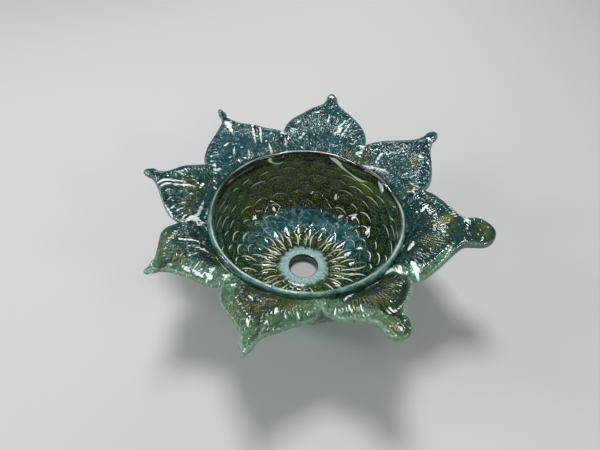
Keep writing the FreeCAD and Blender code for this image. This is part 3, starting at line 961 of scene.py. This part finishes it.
def bowl_glass():
    """Sea-green and olive glass with gold dust in it, rough where it was ground.

    Its colour also carries painted highlights, painted reflections and painted shade.
    """
    glass = Shading("bowl_glass")
    ramp, times, noise = glass.ramp, glass.times, glass.noise
    sea_reflection, gold, amber, ground = glass.painted("sea_reflection", "gold", "amber", "ground")
    rim, outer, neck, pinched = glass.painted("rim", "outer", "neck", "pinched")
    edge, shine, crest, quilted = glass.painted("edge", "shine", "crest", "quilted")
    olive, dome, clear, floor = glass.painted("olive", "dome", "clear", "floor")

    # Painted highlights, laid in one bright white: the diamonds' lines, the pinch marks' outlines, wisps in
    # the painted blue reflection and the lip's crest.
    streak_highlights = times(diamond_highlights(glass), quilted, ramp(sea_reflection, 0, 1, 0.95, 0.5))
    outline = ramp(glass.minus(edge, times(shine, PINCH_LINE)), 0, -PINCH_SOFT)
    # Painted highlights: thin white wisps in the painted blue reflection.
    off_wisp = glass.size(glass.minus(noise(5 * MM, 3), 0.5))
    highlight_wisps = times(ramp(off_wisp, 0.035, 0, 0, 0.5), sea_reflection)
    bright = glass.largest(streak_highlights, outline, highlight_wisps, times(crest, 0.8))
    # Painted reflection: pale icy patches in the painted blue reflection.
    icy_reflection = times(ramp(noise(6 * MM, 2), 0.44, 0.58), sea_reflection)
    golden = times(ramp(noise(7 * MM, 3), 0.4, 0.7), gold, 0.18)
    banded = noise(4 * MM, 3, glass.vector("MULTIPLY", glass.where, (1, 1, 4)))
    bands = times(rim, ramp(banded, 0.35, 0.65, 0.05, 0.5))
    frosted = times(floor, ramp(noise(0.8 * MM, 3), 0.3, 0.7, 0.5, 1))
    dust, leaning = glass.foil(glass.where, times(gold, 0.34), 0.32 * MM, 0.9)

    tint = glass.layers(
        "green",
        (sea_reflection, "sea_reflection"),
        (times(icy_reflection, 0.7), "ice_reflection"),
        (olive, "olive"),
        # Painted shade, darker towards the grooves between the domes.
        (ramp(dome, 0.1, 0.7, 0.35, 0), "groove_shade"),
        (neck, "neck"),
        (times(pinched, 0.5), "pinch"),
        (times(outer, 0.5), "outside"),
        (glass.largest(golden, amber), "honey"),
        (clear, "clear"),
        (rim, "rim"),
        (frosted, "frosted"),
        (ground, "ground"),
        (bright, "highlight_white"),
        (dust, "dust"),
    )
    clarity = glass.clarity(
        0.94, (bright, 0.9), (ground, 0.8), (frosted, 0.75), (dust, 0.6), (amber, 0.3), (icy_reflection, 0.3),
        (bands, 1), (outer, 0.2), (neck, 0.3), (pinched, 0.15),
    )
    pitted = glass.bump(times(noise(0.35 * MM, 4), ground), 0.5, 0.1 * MM, leaning)
    glass.absorb("bowl_depth", 60)
    return glass.finish(
        Base_Color=tint,
        Metallic=times(dust, 0.6),
        Roughness=glass.largest(ramp(ground, 0, 1, 0.04, 0.55), times(dust, 0.3)),
        Transmission_Weight=clarity,
        IOR=IOR,
        Normal=glass.bump(noise(4 * MM, 2), 0.35, 0.3 * MM, pitted),
    )


def leaf_ribs(glass):
    """The fan of ribs in the leaves' glass, from -1 in a hollow to 1 on a crest, broken here and there."""
    fan, ribbed = glass.painted("fan", "ribbed")
    swayed = glass.plus(fan, glass.ramp(glass.noise(3 * MM, 2), 0.3, 0.7, 0, 1.2))
    wave = glass.math("SINE", glass.times(swayed, 2 * math.pi))
    return glass.times(wave, glass.ramp(glass.noise(4 * MM, 1), 0.35, 0.6, 0.25, 1), ribbed)


def leaf_glass():
    """Sea-green glass with bubbles and metal leaf in it, milky at the margins and knots.

    Its colour also carries painted light at the margins, painted highlights and painted shade.
    """
    glass = Shading("leaf_glass")
    ramp, times, noise = glass.ramp, glass.times, glass.noise
    gold, bubbles, moss, milk = glass.painted("gold", "bubbles", "moss", "milk")
    pale, slot_shade, gleam = glass.painted("pale", "slot_shade", "gleam")
    along_ribs = glass.combined(*glass.painted("fleck_across", "fleck_along"))
    lay = glass.vector("ADD", along_ribs, glass.vector("SCALE", glass.where, scale=0.25))
    ribs = leaf_ribs(glass)

    patches = ramp(noise(6 * MM, 2), 0.38, 0.62, 0.25, 1)
    crowd = times(bubbles, patches, ramp(ribs, -0.6, 0.8, 0.4, 1.2), 0.6)
    flecks, leaning = glass.foil(lay, crowd, 0.4 * MM, 1.1)
    streaky = glass.vector("MULTIPLY", lay, (2.2, 0.7, 1))
    amber = times(ramp(noise(1.6 * MM, 3, streaky), 0.4, 0.54), gold)
    smoky = times(ramp(noise(2.3 * MM, 2, lay), 0.42, 0.6), moss, 0.85)
    # The milky margins' pale green, mottled: partly milky glass, partly painted light.
    mottled_milk_and_light = times(milk, ramp(noise(1.2 * MM, 3), 0.35, 0.65, 0.55, 1))
    # Painted shade in the rib hollows, less where the margins are milky, and painted highlights on the rib
    # crests, fainter on mossy leaves.
    hollow = times(ramp(ribs, 0, -0.7, 0, 0.6), ramp(mottled_milk_and_light, 0, 1, 1, 0.25))
    rib_highlight = times(ramp(ribs, 0.35, 0.85, 0, 0.5), ramp(moss, 0, 1, 1, 0.35))
    # Painted highlights: the gleam at knots, white lines, strokes, speckles and ridge crests, broken up by
    # noise.
    ragged = glass.plus(gleam, ramp(noise(0.5 * MM, 3, lay), 0.3, 0.7, -0.65, 0.45))
    bright = ramp(ragged, 0.5, 0.6)

    metal = glass.layers(
        "silver",
        (ramp(moss, 0.2, 1), "mossy_silver"),
        (ramp(amber, 0.1, 0.4), "gold"),
    )
    tint = glass.layers(
        "leaf",
        (moss, "moss"),
        (smoky, "smoke"),
        (ramp(noise(0.9 * MM, 3, lay), 0.58, 0.4, 0, 0.75), "dim"),
        (mottled_milk_and_light, "milk"),
        (amber, "amber"),
        (hollow, "hollow"),
        (rib_highlight, "rib_highlight"),
        (times(pale, 0.65), "margin"),
        (slot_shade, "slot_shade"),
        (bright, "gleam"),
        (flecks, metal),
    )
    clarity = glass.clarity(
        0.9, (bright, 0.85), (mottled_milk_and_light, 0.4), (pale, 0.2), (rib_highlight, 0.5), (flecks, 0.55), (moss, 0.18),
        (amber, 0.35),
    )
    satin = glass.mix(milk, ramp(moss, 0.5, 0.9, 0.05, 0.1), 0.16)
    ribbed = glass.bump(ribs, 0.5, 0.12 * MM, leaning)
    glass.absorb("leaf_depth", 330)
    return glass.finish(
        Base_Color=tint,
        Metallic=times(flecks, 0.7),
        Roughness=glass.largest(satin, times(flecks, 0.28)),
        Transmission_Weight=clarity,
        IOR=IOR,
        Normal=glass.bump(noise(1.8 * MM, 0.5), 0.35, 0.3 * MM, ribbed),
    )


def floor_paint():
    """A pale matt studio floor."""
    paint = Shading("studio_floor")
    shade = paint.ramp(paint.noise(0.4, 1), 0.3, 0.7)
    return paint.finish(Base_Color=paint.layers("floor", (shade, "pale_floor")), Roughness=0.9)


# ---------------- the studio

FLOOR_SIDE = 3
BELOW_FOOT = 0.05 * MM
SKY = (0.92, 0.96, 1, 1)
SKY_STRENGTH = 0.2

# Softboxes: place, width, power and colour.
SOFTBOXES = {
    "overhead": ((-0.05, 0.14, 0.6), 0.16, 2.4, (1, 1, 1)),
    "back": ((0.1, 0.6, 0.3), 0.14, 0.7, (1, 1, 1)),
    "left": ((-0.55, -0.05, 0.35), 0.14, 1.1, (0.94, 0.98, 1)),
    "right": ((0.5, -0.35, 0.4), 0.12, 0.85, (1, 1, 1)),
    "front": ((-0.3, -0.5, 0.3), 0.12, 0.5, (1, 1, 1)),
}

# The camera: what it looks at, its distance, its angles down and about its own axis, and its lens.
TARGET = Vector((-2.5 * MM, -7.4 * MM, LIP))
DISTANCE = 181.2 * MM
ELEVATION = math.radians(47.9)
ROLL = math.radians(3.06)
SENSOR_WIDE = 36
FOCAL_LENGTH = 28.08
CLIP_START = 0.005


def add_floor():
    """A wide flat floor just under the ground foot."""
    mesh = bpy.data.meshes.new("floor")
    corners = [(x * FLOOR_SIDE, y * FLOOR_SIDE, 0) for x, y in ((-1, -1), (1, -1), (1, 1), (-1, 1))]
    mesh.from_pydata(corners, [], [(0, 1, 2, 3)])
    mesh.materials.append(floor_paint())
    floor = add_object("floor", mesh)
    floor.location.z = bowl_low.z - BELOW_FOOT


def add_softbox(name, place, size, power, colour):
    """A square area light at a place, turned to face the middle of the lip."""
    lamp = bpy.data.lights.new(name, "AREA")
    lamp.shape = "SQUARE"
    lamp.size = size
    lamp.energy = power
    lamp.color = colour
    box = add_object(name, lamp)
    box.location = place
    box.visible_camera = False
    box.rotation_euler = (Vector((0, 0, LIP)) - Vector(place)).to_track_quat("-Z", "Y").to_euler()


def add_studio():
    """The floor, the softboxes and a dim even sky."""
    add_floor()
    for name, softbox in SOFTBOXES.items():
        add_softbox(name, *softbox)
    world = bpy.data.worlds.new("studio")
    world.use_nodes = True
    sky = world.node_tree.nodes["Background"]
    sky.inputs["Color"].default_value = SKY
    sky.inputs["Strength"].default_value = SKY_STRENGTH
    bpy.context.scene.world = world
    bpy.context.scene.view_settings.view_transform = "Standard"


def add_camera():
    """Looks down at the cup from the front, as the photo does."""
    ahead = Vector((0, math.cos(ELEVATION), -math.sin(ELEVATION)))
    level = Vector((1, 0, 0))
    upright = level.cross(ahead)
    right = level * math.cos(ROLL) + upright * math.sin(ROLL)
    up = upright * math.cos(ROLL) - level * math.sin(ROLL)
    lens = bpy.data.cameras.new("camera")
    lens.sensor_width = SENSOR_WIDE
    lens.lens = FOCAL_LENGTH
    lens.clip_start = CLIP_START
    camera = add_object("camera", lens)
    camera.matrix_world = Matrix((right, up, -ahead)).transposed().to_4x4()
    camera.location = TARGET - ahead * DISTANCE
    bpy.context.scene.camera = camera


def main():
    """The studio, the bowl and the leaves, each in place of its CAD node."""
    add_camera()
    add_studio()
    bowl = make_bowl()
    bowl.data.materials.append(bowl_glass())
    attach(bowl, "root")
    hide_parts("bowl")
    glass = leaf_glass()
    for number in LEAVES:
        leaf = make_leaf(number)
        leaf.data.materials.append(glass)
        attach(leaf, "root")
        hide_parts(f"leaf_{number}")


main()
